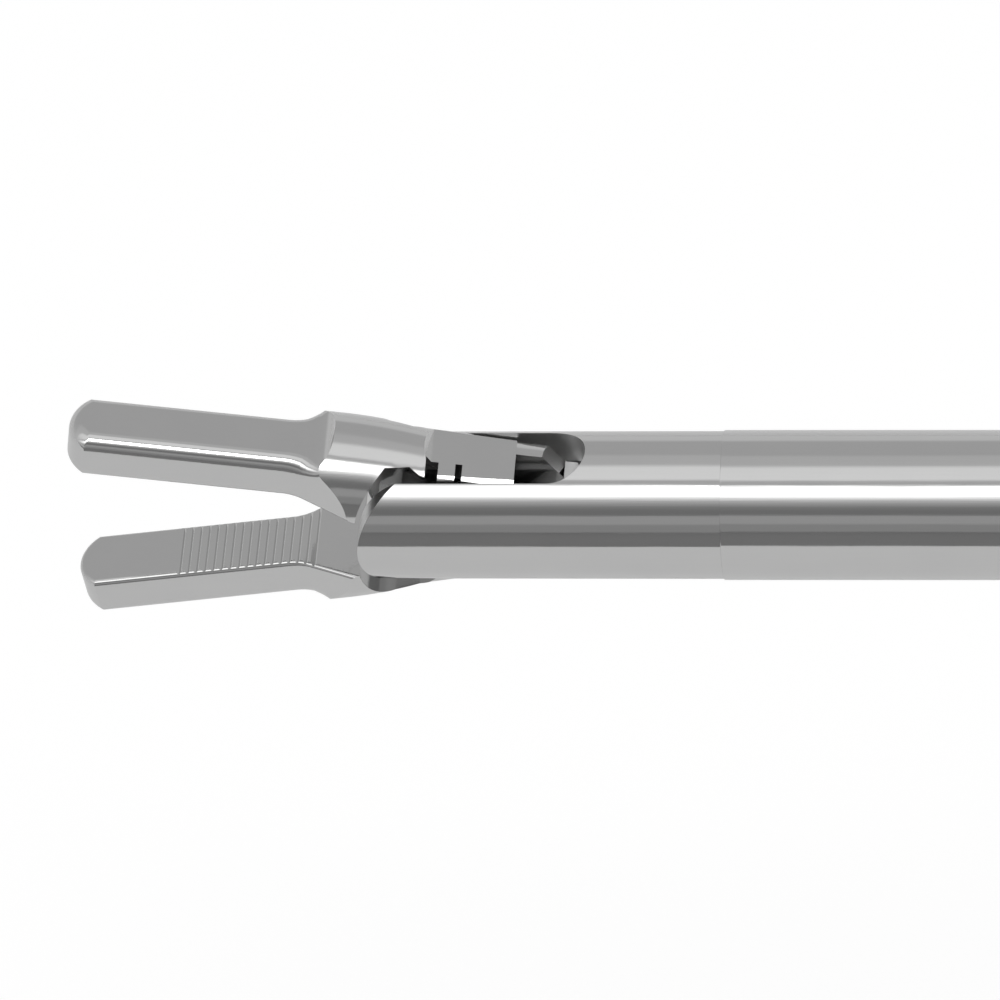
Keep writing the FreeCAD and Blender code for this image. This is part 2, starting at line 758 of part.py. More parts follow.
def make_outer_tube():
    """Long shaft tube with the flush hole under the port."""
    body = turned_part("outer_tube", [
        ("fork_seam", "tube_bore"),
        ("tube_rear", "tube_bore"),
        ("tube_rear", "tube_seat_radius"),
        ("collar_front", "tube_seat_radius"),
        ("collar_front", "tube_radius"),
        ("fork_seam + tube_edge", "tube_radius"),
        ("fork_seam", "tube_radius - tube_edge"),
    ])
    port = circle(new_sketch(body, "XY", "tube_flush_hole"), "collar_front + collar_length / 2", "0",
                  "flush_hole_radius")
    pocket(body, port, "tube_flushed", "tube_radius * 2", reversed_way=True)
    return body


def make_flush_collar():
    """Collar fixed on the tube, with the boss that carries the flush port."""
    body = turned_part("flush_collar", tube_path(
        "collar_front", "collar_front + collar_length", "tube_seat_radius", "collar_radius"))
    middle = "(collar_front + collar_length / 2)"
    boss = circle(new_sketch(body, "XY", "collar_boss", "tube_radius + 1"), middle, "0", "port_boss_radius")
    pad(body, boss, "collar_boss_pad", "port_boss_height - tube_radius - 1")
    hole = circle(new_sketch(body, "XY", "collar_hole"), middle, "0", "port_radius")
    pocket(body, hole, "collar_bored", "far", reversed_way=True)
    return body


def make_flush_port():
    """Luer port: a tapped tube with two lugs at its mouth."""
    body = new_body("flush_port")
    middle = "(collar_front + collar_length / 2)"
    stem = circle(new_sketch(body, "XY", "port_stem", "tube_seat_radius"), middle, "0", "port_radius")
    pad(body, stem, "port_stem_pad", "port_height - tube_seat_radius")
    lugs = [
        (f"{middle} - port_lug_reach", "-port_bore"),
        (f"{middle} + port_lug_reach", "-port_bore"),
        (f"{middle} + port_lug_reach", "port_bore"),
        (f"{middle} - port_lug_reach", "port_bore"),
    ]
    pad(body, outline(new_sketch(body, "XY", "port_lugs", "port_height - port_lug_thick"), lugs),
        "port_lugs_pad", "port_lug_thick")
    hole = circle(new_sketch(body, "XY", "port_hole"), middle, "0", "port_bore")
    pocket(body, hole, "port_bored", "far", reversed_way=True)
    return body


def make_shaft_hub():
    """Sleeve that carries the knob and runs in the handle's bearing."""
    return turned_part("shaft_hub", [
        ("hub_front", "tube_seat_radius"),
        ("hub_rear", "tube_seat_radius"),
        ("hub_rear", "hub_radius"),
        ("groove_front + ring_thick", "hub_radius"),
        ("groove_front + ring_thick", "hub_radius - ring_groove"),
        ("groove_front", "hub_radius - ring_groove"),
        ("groove_front", "hub_radius"),
        ("knob_front", "hub_radius"),
        ("knob_front", "hub_flange_radius"),
        ("hub_front", "hub_flange_radius"),
    ])


def make_knob():
    """Rotation knob with finger flutes and two tapped holes for its set screws."""
    body = turned_part("rotation_knob", [
        ("knob_front", "hub_radius"),
        ("knob_rear", "hub_radius"),
        ("knob_rear", "knob_radius - knob_chamfer"),
        ("knob_rear - knob_chamfer", "knob_radius"),
        ("knob_front + knob_nose", "knob_radius"),
        ("knob_front", "hub_flange_radius"),
    ])
    flute = circle(new_sketch(body, "YZ", "knob_flute", "knob_front"), "0",
                   "knob_radius + knob_flute_radius - knob_flute_depth", "knob_flute_radius")
    cut = pocket(body, flute, "knob_flute_cut", "knob_length", reversed_way=True)
    ring = body.newObject("PartDesign::PolarPattern", "knob_flutes_ring")
    ring.Originals = [cut]
    axis = [item for item in body.Origin.OriginFeatures if item.Role == "X_Axis"]
    ring.Axis = (axis[0], [""])
    tie(ring, "Occurrences", "knob_flutes")
    body.Tip = ring
    document.recompute()
    hole = circle(new_sketch(body, "XZ", "knob_screw_hole"), "knob_front + knob_length / 2", "0",
                  "set_screw_radius")
    pocket(body, hole, "knob_tapped", "far", symmetric=True)
    return body


def make_knob_screws():
    """Two set screws that hold the knob on its hub."""
    reach = number("knob_radius - hub_radius - knob_flute_depth - set_screw_sink")
    middle = number("knob_front + knob_length / 2")
    parts = []
    for index, way in enumerate((-1, 1), start=1):
        start = number("hub_radius") if way > 0 else -number("hub_radius") - reach
        place = across_y(middle, start + reach)
        parts.append(cylinder(f"knob_screw_{index}", "set_screw_radius",
                              "knob_radius - hub_radius - knob_flute_depth - set_screw_sink", place))
    group = document.addObject("Part::Compound", "knob_screws")
    group.Links = parts
    group.Label = "knob_screws"
    return group


def make_small_rings():
    """Thrust washer, retaining ring, rod seal and seal cap on the shaft axis."""
    inside = "(hub_radius - ring_groove)"
    washer_front = "(knob_rear + (handle_front - knob_rear - washer_thick) / 2)"
    return [
        turned_part("thrust_washer", tube_path(
            washer_front, f"{washer_front} + washer_thick", "hub_radius + bearing_gap", "washer_radius")),
        turned_part("retaining_ring", tube_path(
            "groove_front", "groove_front + ring_thick", inside, "ring_radius")),
        turned_part("rod_seal", tube_path(
            "tube_rear", "tube_rear + seal_thick", "rod_radius + running_gap", "tube_seat_radius")),
        turned_part("seal_cap", tube_path(
            "tube_rear + seal_thick", "hub_rear", "rod_radius + guide_gap", "tube_seat_radius")),
    ]


def make_lock_nut():
    """Nut that locks the ball on the rod."""
    return turned_part("rod_lock_nut", tube_path(
        "ball_rest - ball_radius - lock_nut_thick", "ball_rest - ball_radius", "rod_radius", "lock_nut_radius"))


def make_handle_body():
    """Fixed handle: a bearing head, a stem and a long finger ring."""
    body = new_body("handle_body")
    head = [
        ("handle_front", "-handle_foot"),
        ("handle_rear", "-handle_foot"),
        ("handle_rear", "handle_top"),
        ("handle_front", "handle_top"),
    ]
    pad(body, outline(new_sketch(body, "XZ", "handle_head"), head), "handle_head_pad", "handle_half * 2",
        symmetric=True)
    round_edges(body, "handle_corner_rounding", "handle_corner", is_head_corner)
    round_edges(body, "handle_head_rounding", "handle_round", is_head_rim)
    loop = slot_path("finger_low_x", "-finger_low_z", "finger_top_x", "-finger_top_z", FINGER_OUT)
    pad(body, outline(new_sketch(body, "XZ", "handle_loop"), loop), "handle_loop_pad", "lever_stem_half * 2",
        symmetric=True)
    stem = [
        ("handle_front", "-handle_foot + stem_bite"),
        ("finger_top_x - stem_front_reach", "-finger_top_z + stem_bite"),
        ("finger_top_x + stem_rear_reach", "-finger_top_z + stem_bite"),
        ("handle_front + stem_width", "-handle_foot + stem_bite"),
    ]
    pad(body, outline(new_sketch(body, "XZ", "handle_stem"), stem), "handle_stem_pad", "lever_stem_half * 2",
        symmetric=True)
    hole = slot_path("finger_low_x", "-finger_low_z", "finger_top_x", "-finger_top_z", "finger_ring_bore")
    pocket(body, outline(new_sketch(body, "XZ", "handle_finger_hole"), hole), "handle_finger_cut", "far",
           symmetric=True)
    round_edges(body, "handle_grip_rounding", "grip_round", is_grip_rim)
    bearing = circle(new_sketch(body, "YZ", "handle_bearing", "handle_front"), "0", "0", "hub_radius + bearing_gap")
    pocket(body, bearing, "handle_bearing_bored", "head_slot_front - handle_front + slot_overrun", reversed_way=True)
    well = circle(new_sketch(body, "YZ", "handle_well", "groove_front"), "0", "0", "ring_pocket_radius")
    pocket(body, well, "handle_well_bored", "head_slot_front - groove_front + slot_overrun", reversed_way=True)
    slot = [
        ("head_slot_front", "-handle_foot - slot_overrun"),
        ("handle_rear + slot_overrun", "-handle_foot - slot_overrun"),
        ("handle_rear + slot_overrun", "head_slot_top"),
        ("head_slot_front", "head_slot_top"),
    ]
    pocket(body, outline(new_sketch(body, "XZ", "handle_slot"), slot), "handle_slotted", "head_slot_half * 2",
           symmetric=True)
    screw = circle(new_sketch(body, "XZ", "handle_screw_hole"), LEVER_PIVOT_X, "-lever_drop", "screw_radius")
    pocket(body, screw, "handle_screw_bored", "far", symmetric=True)
    for index, way in enumerate((-1, 1), start=1):
        offset = f"{way} * (handle_half - screw_head_thick)"
        sink = new_sketch(body, "XZ", f"handle_counterbore_{index}", offset)
        circle(sink, LEVER_PIVOT_X, "-lever_drop", "screw_head_radius")
        pocket(body, sink, f"handle_counterbored_{index}", "side_reach", reversed_way=(way > 0))
    return body


def is_head_corner(edge):
    """True for the head's upright corners, seen from the side, but the one over the stem."""
    box = edge.BoundBox
    across = box.YLength > number("handle_half")
    over_stem = box.ZMax < 0 and box.XMax < number("handle_rear - slot_overrun")
    return across and not over_stem


def is_head_rim(edge):
    """True for the edges round the head's two flat sides."""
    box = edge.BoundBox
    return box.YLength < NEAR and abs(abs(box.YMin) - number("handle_half")) < NEAR


def is_grip_rim(edge):
    """True for the round edges of a loop's hole."""
    box = edge.BoundBox
    if box.YLength > NEAR or abs(abs(box.YMin) - number("lever_stem_half")) > NEAR:
        return False
    radius = getattr(edge.Curve, "Radius", 0)
    return min(abs(radius - number("thumb_ring_bore")), abs(radius - number("finger_ring_bore"))) < NEAR


def make_thumb_lever():
    """Moving handle: a socket for the rod's ball, a pivot boss, a stem and a thumb ring."""
    body = new_body("thumb_lever")
    block = [
        ("-lever_block_half", "0"),
        ("lever_block_half", "0"),
        ("lever_block_half", "lever_drop + lever_block_top"),
        ("-lever_block_half", "lever_drop + lever_block_top"),
    ]
    pad(body, outline(new_sketch(body, "XZ", "lever_block"), block), "lever_block_pad", "lever_half * 2",
        symmetric=True)
    boss = circle(new_sketch(body, "XZ", "lever_boss_circle"), "0", "0", "lever_boss")
    pad(body, boss, "lever_boss_pad", "lever_half * 2", symmetric=True)
    stem = [
        ("-lever_root_half", "-lever_root_rise"),
        ("thumb_ring_along - lever_foot_front", "-thumb_ring_down + lever_foot_drop"),
        ("thumb_ring_along + lever_foot_rear", "-thumb_ring_down + lever_foot_rise"),
        ("lever_root_half", "lever_root_rise"),
    ]
    pad(body, outline(new_sketch(body, "XZ", "lever_stem"), stem), "lever_stem_pad", "lever_stem_half * 2",
        symmetric=True)
    ring = circle(new_sketch(body, "XZ", "lever_ring"), "thumb_ring_along", "-thumb_ring_down", THUMB_OUT)
    pad(body, ring, "lever_ring_pad", "lever_stem_half * 2", symmetric=True)
    hole = circle(new_sketch(body, "XZ", "lever_ring_hole"), "thumb_ring_along", "-thumb_ring_down",
                  "thumb_ring_bore")
    pocket(body, hole, "lever_ring_bored", "far", symmetric=True)
    round_edges(body, "lever_grip_rounding", "grip_round", is_grip_rim)
    eye = circle(new_sketch(body, "XZ", "lever_eye"), "0", "0", "bush_radius")
    pocket(body, eye, "lever_eye_bored", "far", symmetric=True)
    seat = "(ball_radius + ball_gap)"
    socket = [
        (f"-{seat}", f"-{seat}"),
        (seat, f"-{seat}"),
        (seat, seat),
        (f"-{seat}", seat),
    ]
    pocket(body, outline(new_sketch(body, "XY", "lever_socket", f"lever_drop - {seat}"), socket),
           "lever_socket_cut", "far", reversed_way=True)
    neck = [
        ("-side_reach", "-(lock_nut_radius + ball_gap)"),
        ("0", "-(lock_nut_radius + ball_gap)"),
        ("0", "lock_nut_radius + ball_gap"),
        ("-side_reach", "lock_nut_radius + ball_gap"),
    ]
    pocket(body, outline(new_sketch(body, "XY", "lever_neck", "lever_drop - lock_nut_radius - neck_gap"), neck),
           "lever_neck_cut", "far", reversed_way=True)
    return body


def place_lever():
    """The lever stands tilted back by half of its swing when the jaws are open."""
    body = make_thumb_lever()
    tilt = math.degrees(number("rod_stroke / 2 / lever_drop"))
    place = FreeCAD.Vector(number(LEVER_PIVOT_X), 0, -number("lever_drop"))
    body.Placement = FreeCAD.Placement(place, FreeCAD.Rotation(FreeCAD.Vector(0, 1, 0), -tilt))
    return body


def pivot_part(label, sections):
    """Turned part on the lever pivot's axis, built of plain discs (radius, low y, high y)."""
    body = new_body(label)
    for index, (radius, low, high) in enumerate(sections, start=1):
        disc = circle(new_sketch(body, "XZ", f"{label}_disc_{index}", f"-({low})"), LEVER_PIVOT_X, "-lever_drop",
                      radius)
        pad(body, disc, f"{label}_disc_{index}_pad", f"({high}) - ({low})", reversed_way=True)
    return body


def make_lever_screw():
    """Pivot screw with a flush head."""
    return pivot_part("lever_screw", [
        ("screw_head_radius", "-handle_half", "-(handle_half - screw_head_thick)"),
        ("screw_radius", "-(handle_half - screw_head_thick)", "handle_half"),
    ])


def make_lever_nut():
    """Flush nut on the far end of the pivot screw."""
    body = pivot_part("lever_nut", [("screw_head_radius", "handle_half - screw_head_thick", "handle_half")])
    hole = circle(new_sketch(body, "XZ", "lever_nut_hole"), LEVER_PIVOT_X, "-lever_drop", "screw_radius")
    pocket(body, hole, "lever_nut_bored", "far", symmetric=True)
    return body


def make_lever_bush():
    """Bearing bush pressed in the lever."""
    body = pivot_part("lever_bush", [("bush_radius", "-lever_half", "lever_half")])
    hole = circle(new_sketch(body, "XZ", "lever_bush_hole"), LEVER_PIVOT_X, "-lever_drop",
                  "screw_radius + running_gap")
    pocket(body, hole, "lever_bush_bored", "far", symmetric=True)
    return body


def write_parts(parts):
    """Checks each object and writes one file for each node."""
    document.recompute()
    for item in document.Objects:
        if "Invalid" in item.State or "Error" in item.State:
            raise ValueError(f"{item.Label} failed: {item.State}")
    os.makedirs("parts", exist_ok=True)
    to_origin = FreeCAD.Vector(-number("origin_back"), 0, 0)
    for item in parts:
        if item.Shape.isNull() or not item.Shape.isValid():
            raise ValueError(f"{item.Label} has no valid shape")
        shape = item.Shape.copy()
        shape.translate(to_origin)
        shape.exportStep(f"parts/{item.Label}.step")
        print(item.Label, len(shape.Solids), round(shape.Volume, 2))


def main():
    parts = place_jaws()
    parts += [
        make_end_fork(),
        make_pivot_pin(),
        make_cam_pin(),
        make_drive_yoke(),
        make_push_rod(),
        make_rod_ball(),
        make_lock_nut(),
        make_rod_guides(),
        make_outer_tube(),
        make_flush_collar(),
        make_flush_port(),
        make_shaft_hub(),
        make_knob(),
        make_knob_screws(),
        make_handle_body(),
        place_lever(),
        make_lever_screw(),
        make_lever_nut(),
        make_lever_bush(),
    ]
    parts += make_small_rings()
    write_parts(parts)


main()
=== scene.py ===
"""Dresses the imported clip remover: finishes for every piece, a fine shaft tube, the studio and the camera."""

import json
import logging
import math
from dataclasses import dataclass, field
from enum import Enum
from typing import Any, Iterable, Optional, Sequence, Union

import bmesh
import bpy
from mathutils import Matrix, Vector

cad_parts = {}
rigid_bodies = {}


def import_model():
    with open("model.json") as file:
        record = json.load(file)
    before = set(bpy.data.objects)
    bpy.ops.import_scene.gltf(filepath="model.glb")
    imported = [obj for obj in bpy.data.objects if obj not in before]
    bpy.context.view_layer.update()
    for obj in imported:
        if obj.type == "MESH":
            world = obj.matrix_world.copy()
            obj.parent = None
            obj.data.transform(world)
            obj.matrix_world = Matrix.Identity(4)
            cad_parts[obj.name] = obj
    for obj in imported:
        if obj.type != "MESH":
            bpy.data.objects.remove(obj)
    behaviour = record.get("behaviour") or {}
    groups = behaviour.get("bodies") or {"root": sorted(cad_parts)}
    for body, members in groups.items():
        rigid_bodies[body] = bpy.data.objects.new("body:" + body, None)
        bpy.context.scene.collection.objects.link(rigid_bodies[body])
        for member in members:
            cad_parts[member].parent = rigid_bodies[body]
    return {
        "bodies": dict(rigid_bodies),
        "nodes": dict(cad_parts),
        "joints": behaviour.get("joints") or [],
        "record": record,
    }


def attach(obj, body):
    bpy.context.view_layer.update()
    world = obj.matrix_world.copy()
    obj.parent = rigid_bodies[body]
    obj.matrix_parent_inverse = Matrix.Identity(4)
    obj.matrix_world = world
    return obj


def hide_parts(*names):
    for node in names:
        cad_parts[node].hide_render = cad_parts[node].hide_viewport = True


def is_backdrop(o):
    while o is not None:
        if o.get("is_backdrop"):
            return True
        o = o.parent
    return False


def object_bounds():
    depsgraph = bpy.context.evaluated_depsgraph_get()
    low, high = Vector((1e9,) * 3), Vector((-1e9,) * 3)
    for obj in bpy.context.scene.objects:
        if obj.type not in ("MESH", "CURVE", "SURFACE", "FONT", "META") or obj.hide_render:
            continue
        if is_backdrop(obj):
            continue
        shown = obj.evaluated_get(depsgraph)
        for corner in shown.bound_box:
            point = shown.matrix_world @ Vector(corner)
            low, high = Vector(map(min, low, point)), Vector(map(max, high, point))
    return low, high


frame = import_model()

LOG = logging.getLogger("clip_remover")
MM = 0.001
# A face counts as facing straight out from the axis above this cosine.
FACING_OUT = 0.94

WHITE = (1.0, 1.0, 1.0, 1.0)

Colour = tuple[float, float, float]
Value = Union["Term", int, float]


class Direction(Enum):
    """The way the fine lines of a finish run, as stretch factors for its pattern."""

    ALONG_X = (0.02, 1.0, 1.0)
    ALONG_Z = (1.0, 1.0, 0.04)
    ROUND_X = (1.0, 0.05, 0.05)
    EVEN = (1.0, 1.0, 1.0)


class Term:
    """One output socket that can be used in arithmetic."""

    def __init__(self, shader: "Shader", socket: bpy.types.NodeSocket) -> None:
        """Keeps the socket and the shader that owns it."""
        self.shader = shader
        self.socket = socket

    def _maths(self, operation: str, first: Value, second: Optional[Value] = None) -> "Term":
        """Adds one Math node.

        Args:
            operation: The Math node's operation.
            first: A term or a number.
            second: A term or a number, where the operation has one.

        Returns:
            The node's result.
        """
        values = [value for value in (first, second) if value is not None]
        node = self.shader.node("ShaderNodeMath", {"operation": operation}, dict(enumerate(values)))
        return self.shader.term(node)

    def __add__(self, other: Value) -> "Term":
        """Adds."""
        return self._maths("ADD", self, other)

    def __radd__(self, other: Value) -> "Term":
        """Adds, with the number first."""
        return self._maths("ADD", other, self)

    def __sub__(self, other: Value) -> "Term":
        """Subtracts."""
        return self._maths("SUBTRACT", self, other)

    def __rsub__(self, other: Value) -> "Term":
        """Subtracts from a number."""
        return self._maths("SUBTRACT", other, self)

    def __mul__(self, other: Value) -> "Term":
        """Multiplies."""
        return self._maths("MULTIPLY", self, other)

    def __rmul__(self, other: Value) -> "Term":
        """Multiplies, with the number first."""
        return self._maths("MULTIPLY", other, self)

    def __truediv__(self, other: Value) -> "Term":
        """Divides."""
        return self._maths("DIVIDE", self, other)

    def __rtruediv__(self, other: Value) -> "Term":
        """Divides a number."""
        return self._maths("DIVIDE", other, self)

    def __neg__(self) -> "Term":
        """Changes the sign."""
        return self._maths("MULTIPLY", self, -1.0)

    def __abs__(self) -> "Term":
        """Takes the size without the sign."""
        return self._maths("ABSOLUTE", self)

    def __pow__(self, other: Value) -> "Term":
        """Raises to a power."""
        return self._maths("POWER", self, other)

    def __rpow__(self, other: Value) -> "Term":
        """Raises a number to this power."""
        return self._maths("POWER", other, self)

    def above(self, limit: Value) -> "Term":
        """Gives 1 where the value is above the limit."""
        return self._maths("GREATER_THAN", self, limit)

    def arc_tangent(self, other: Value) -> "Term":
        """Gives the angle of the point (other, self), in radians."""
        return self._maths("ARCTAN2", self, other)

    def largest(self, other: Value) -> "Term":
        """Gives the larger of two values."""
        return self._maths("MAXIMUM", self, other)

    def swing(self, width: float) -> "Term":
        """Turns a pattern from 0 to 1 into a swing of this width about zero."""
        return (self - 0.5) * width


class Shader:
    """A node tree being filled, with one method for every kind of node."""

    def __init__(self, tree: bpy.types.NodeTree) -> None:
        """Empties the tree and keeps it."""
        self.tree = tree
        tree.nodes.clear()

    def node(self, kind: str, settings: Optional[dict[str, Any]] = None,
             inputs: Optional[dict[Any, Any]] = None) -> bpy.types.Node:
        """Adds one node.

        Args:
            kind: The node's type.
            settings: Properties set first; "stops" fills a colour ramp.
            inputs: Values or terms by socket name or index.

        Returns:
            The node.
        """
        made = self.tree.nodes.new(kind)
        for name, value in (settings or {}).items():
            if name == "stops":
                self._fill_ramp(made.color_ramp, value)
            else:
                setattr(made, name, value)
        for key, value in (inputs or {}).items():
            if isinstance(value, Term):
                self.tree.links.new(value.socket, made.inputs[key])
            else:
                made.inputs[key].default_value = value
        return made

    @staticmethod
    def _fill_ramp(ramp: bpy.types.ColorRamp, stops: Sequence[tuple[float, float]]) -> None:
        """Gives a ramp its grey stops.

        Args:
            ramp: The ramp, as a new node has it.
            stops: Places from 0 to 1 in rising order, each with its level of grey.
        """
        while len(ramp.elements) < len(stops):
            ramp.elements.new(1.0)
        for element, (place, level) in zip(ramp.elements, stops):
            element.position = place
            element.color = (level, level, level, 1.0)

    def term(self, node: bpy.types.Node, output: Union[int, str] = 0) -> Term:
        """Wraps one output of a node."""
        return Term(self, node.outputs[output])

    def place(self, direction: Direction = Direction.EVEN) -> Term:
        """Gives the object's own coordinates for a pattern.

        Args:
            direction: The way in which the pattern is drawn out.

        Returns:
            The coordinates.
        """
        source = self.node("ShaderNodeTexCoord")
        mapped = self.node("ShaderNodeMapping", None,
                           {"Vector": self.term(source, "Object"), "Scale": direction.value})
        return self.term(mapped)

    def noise(self, where: Term, scale: float, detail: float = 2.0, roughness: float = 0.5) -> Term:
        """Gives a noise pattern.

        Args:
            where: The coordinates.
            scale: How fine the pattern is.
            detail: How many finer patterns are laid over it.
            roughness: How strong the finer patterns are.

        Returns:
            The pattern, from 0 to 1.
        """
        made = self.node("ShaderNodeTexNoise", None,
                         {"Vector": where, "Scale": scale, "Detail": detail, "Roughness": roughness})
        return self.term(made, "Fac")

    def blend(self, share: Term, first: Colour, second: Colour) -> Term:
        """Mixes two colours.

        Args:
            share: How much of the second colour there is, from 0 to 1.
            first: The colour at 0.
            second: The colour at 1.

        Returns:
            The mixed colour.
        """
        made = self.node("ShaderNodeMix", {"data_type": "RGBA"},
                         {0: share, 6: (*first, 1.0), 7: (*second, 1.0)})
        return self.term(made, 2)

    def bump(self, height: Term, distance: float, under: Optional[Term] = None) -> Term:
        """Turns a height into a normal.

        Args:
            height: The height pattern, from 0 to 1.
            distance: How high 1 stands, in metres.
            under: The normal under the pattern, where it isn't the surface's own.

        Returns:
            The normal.
        """
        inputs: dict[Any, Any] = {"Distance": distance, "Height": height}
        if under is not None:
            inputs["Normal"] = under
        return self.term(self.node("ShaderNodeBump", None, inputs), "Normal")

    def vector(self, operation: str, first: Term, second: Any = None, output: str = "Vector") -> Term:
        """Adds one Vector Math node and gives one of its results."""
        inputs = {0: first} if second is None else {0: first, 1: second}
        return self.term(self.node("ShaderNodeVectorMath", {"operation": operation}, inputs), output)

    def ground_round(self, radius: float) -> tuple[Term, Term]:
        """Gives the normal of a surface ground truly round about the shaft's axis.

        Args:
            radius: The surface counts as ground where it is further than this from the axis.

        Returns:
            The normal, which points straight out from the axis on the ground surface and is as it was
            elsewhere, and a mask that is 1 on the ground surface.
        """
        source = self.node("ShaderNodeTexCoord")
        across = self.vector("MULTIPLY", self.term(source, "Object"), (0.0, 1.0, 1.0))
        outward = self.vector("NORMALIZE", across)
        far = self.vector("LENGTH", across, output="Value").above(radius)
        facing = self.vector("DOT_PRODUCT", self.term(source, "Normal"), outward, "Value").above(FACING_OUT)
        turned = self.node("ShaderNodeVectorTransform",
                           {"vector_type": "NORMAL", "convert_from": "OBJECT", "convert_to": "WORLD"},
                           {"Vector": outward})
        plain = self.term(self.node("ShaderNodeNewGeometry"), "Normal")
        ground = far * facing
        chosen = self.node("ShaderNodeMix", {"data_type": "VECTOR"},
                           {0: ground, 4: plain, 5: self.term(turned)})
        return self.term(chosen, 1), ground

    def surface(self, inputs: dict[Any, Any]) -> None:
        """Ends the tree in one Principled shader."""
        body = self.node("ShaderNodeBsdfPrincipled", None, inputs)
        self.node("ShaderNodeOutputMaterial", None, {"Surface": self.term(body)})


def scaled(colour: Colour, factor: float) -> Colour:
    """Makes a colour lighter or darker by a factor."""
    red, green, blue = colour
    return red * factor, green * factor, blue * factor


def fresh_material(name: str) -> tuple[bpy.types.Material, Shader]:
    """Makes a material with an empty tree.

    Args:
        name: The material's name.

    Returns:
        The material, and the shader that fills its tree.
    """
    material = bpy.data.materials.new(name)
    material.use_nodes = True
    return material, Shader(material.node_tree)


@dataclass(frozen=True)
class SteelFinish:
    """Stainless steel with fine lines left by polishing.

    Where ground_above is set, the surface further than that from the shaft's axis is ground and polished, and
    the rest is milled and duller.
    """

    name: str
    tone: float
    roughness: float
    lines: Direction
    line_scale: float = 9000.0
    line_detail: float = 3.0
    line_harshness: float = 0.6
    line_depth: float = 0.0012 * MM
    line_share: float = 0.5
    cloud_scale: float = 260.0
    cloud_detail: float = 3.0
    spread: float = 0.05
    smoothest: float = 0.03
    light_share: Colour = (1.04, 1.04, 1.03)
    dark_share: Colour = (0.95, 0.95, 0.955)
    ground_above: float = 0.0
    milled_roughness: float = 0.34

    def make(self) -> bpy.types.Material:
        """Builds the material.

        Returns:
            The material.
        """
        material, shader = fresh_material(self.name)
        lines = shader.noise(shader.place(self.lines), self.line_scale, self.line_detail, self.line_harshness)
        cloud = shader.noise(shader.place(), self.cloud_scale, self.cloud_detail)
        share = lines * self.line_share + cloud * (1.0 - self.line_share)
        colour = shader.blend(share, scaled(self.dark_share, self.tone), scaled(self.light_share, self.tone))
        rough = self.roughness + cloud.swing(self.spread) + lines.swing(self.spread)
        under = None
        if self.ground_above > 0.0:
            under, ground = shader.ground_round(self.ground_above)
            rough = rough + (1.0 - ground) * self.milled_roughness
        shader.surface({
            "Base Color": colour,
            "Metallic": 1.0,
            "Roughness": rough.largest(self.smoothest),
            "Normal": shader.bump(lines, self.line_depth, under=under),
        })
        return material


@dataclass(frozen=True)
class PlasticFinish:
    """Moulded plastic with a fine even grain and faint handling marks."""

    name: str
    light: Colour
    dark: Colour
    roughness: float
    grain_scale: float = 3200.0
    grain_depth: float = 0.03 * MM
    grain_smoothness: float = 0.6
    mark_scale: float = 90.0
    mark_detail: float = 4.0
    fine_scale: float = 1200.0
    mark_share: float = 0.6
    mark_gloss: float = 0.16
    grain_gloss: float = 0.08
    shine: float = 0.42

    def make(self) -> bpy.types.Material:
        """Builds the material.

        Returns:
            The material.
        """
        material, shader = fresh_material(self.name)
        where = shader.place()
        cells = shader.node("ShaderNodeTexVoronoi", {"feature": "SMOOTH_F1"},
                            {"Vector": where, "Scale": self.grain_scale, "Smoothness": self.grain_smoothness})
        grain = shader.term(cells, "Distance")
        marks = shader.noise(where, self.mark_scale, self.mark_detail)
        fine = shader.noise(where, self.fine_scale)
        share = marks * self.mark_share + fine * (1.0 - self.mark_share)
        shader.surface({
            "Base Color": shader.blend(share, self.dark, self.light),
            "Roughness": self.roughness + marks.swing(self.mark_gloss) + grain.swing(self.grain_gloss),
            "Normal": shader.bump(grain, self.grain_depth),
            "Specular IOR Level": self.shine,
        })
        return material


@dataclass(frozen=True)
class BronzeFinish:
    """Plain turned bearing bronze."""

    name: str
    light: Colour = (0.66, 0.47, 0.24)
    dark: Colour = (0.50, 0.33, 0.16)
    roughness: float = 0.3
    spread: float = 0.14
    ring_scale: float = 5200.0
    ring_share: float = 0.4
    ring_depth: float = 0.004 * MM
    cloud_scale: float = 420.0
    cloud_detail: float = 3.0

    def make(self) -> bpy.types.Material:
        """Builds the material.

        Returns:
            The material.
        """
        material, shader = fresh_material(self.name)
        rings = shader.noise(shader.place(Direction.ROUND_X), self.ring_scale)
        cloud = shader.noise(shader.place(), self.cloud_scale, self.cloud_detail)
        share = rings * self.ring_share + cloud * (1.0 - self.ring_share)
        shader.surface({
            "Base Color": shader.blend(share, self.dark, self.light),
            "Metallic": 1.0,
            "Roughness": self.roughness + cloud.swing(self.spread),
            "Normal": shader.bump(rings, self.ring_depth),
        })
        return material


MOULDED_BLACK = ((0.040, 0.041, 0.044), (0.024, 0.025, 0.027))

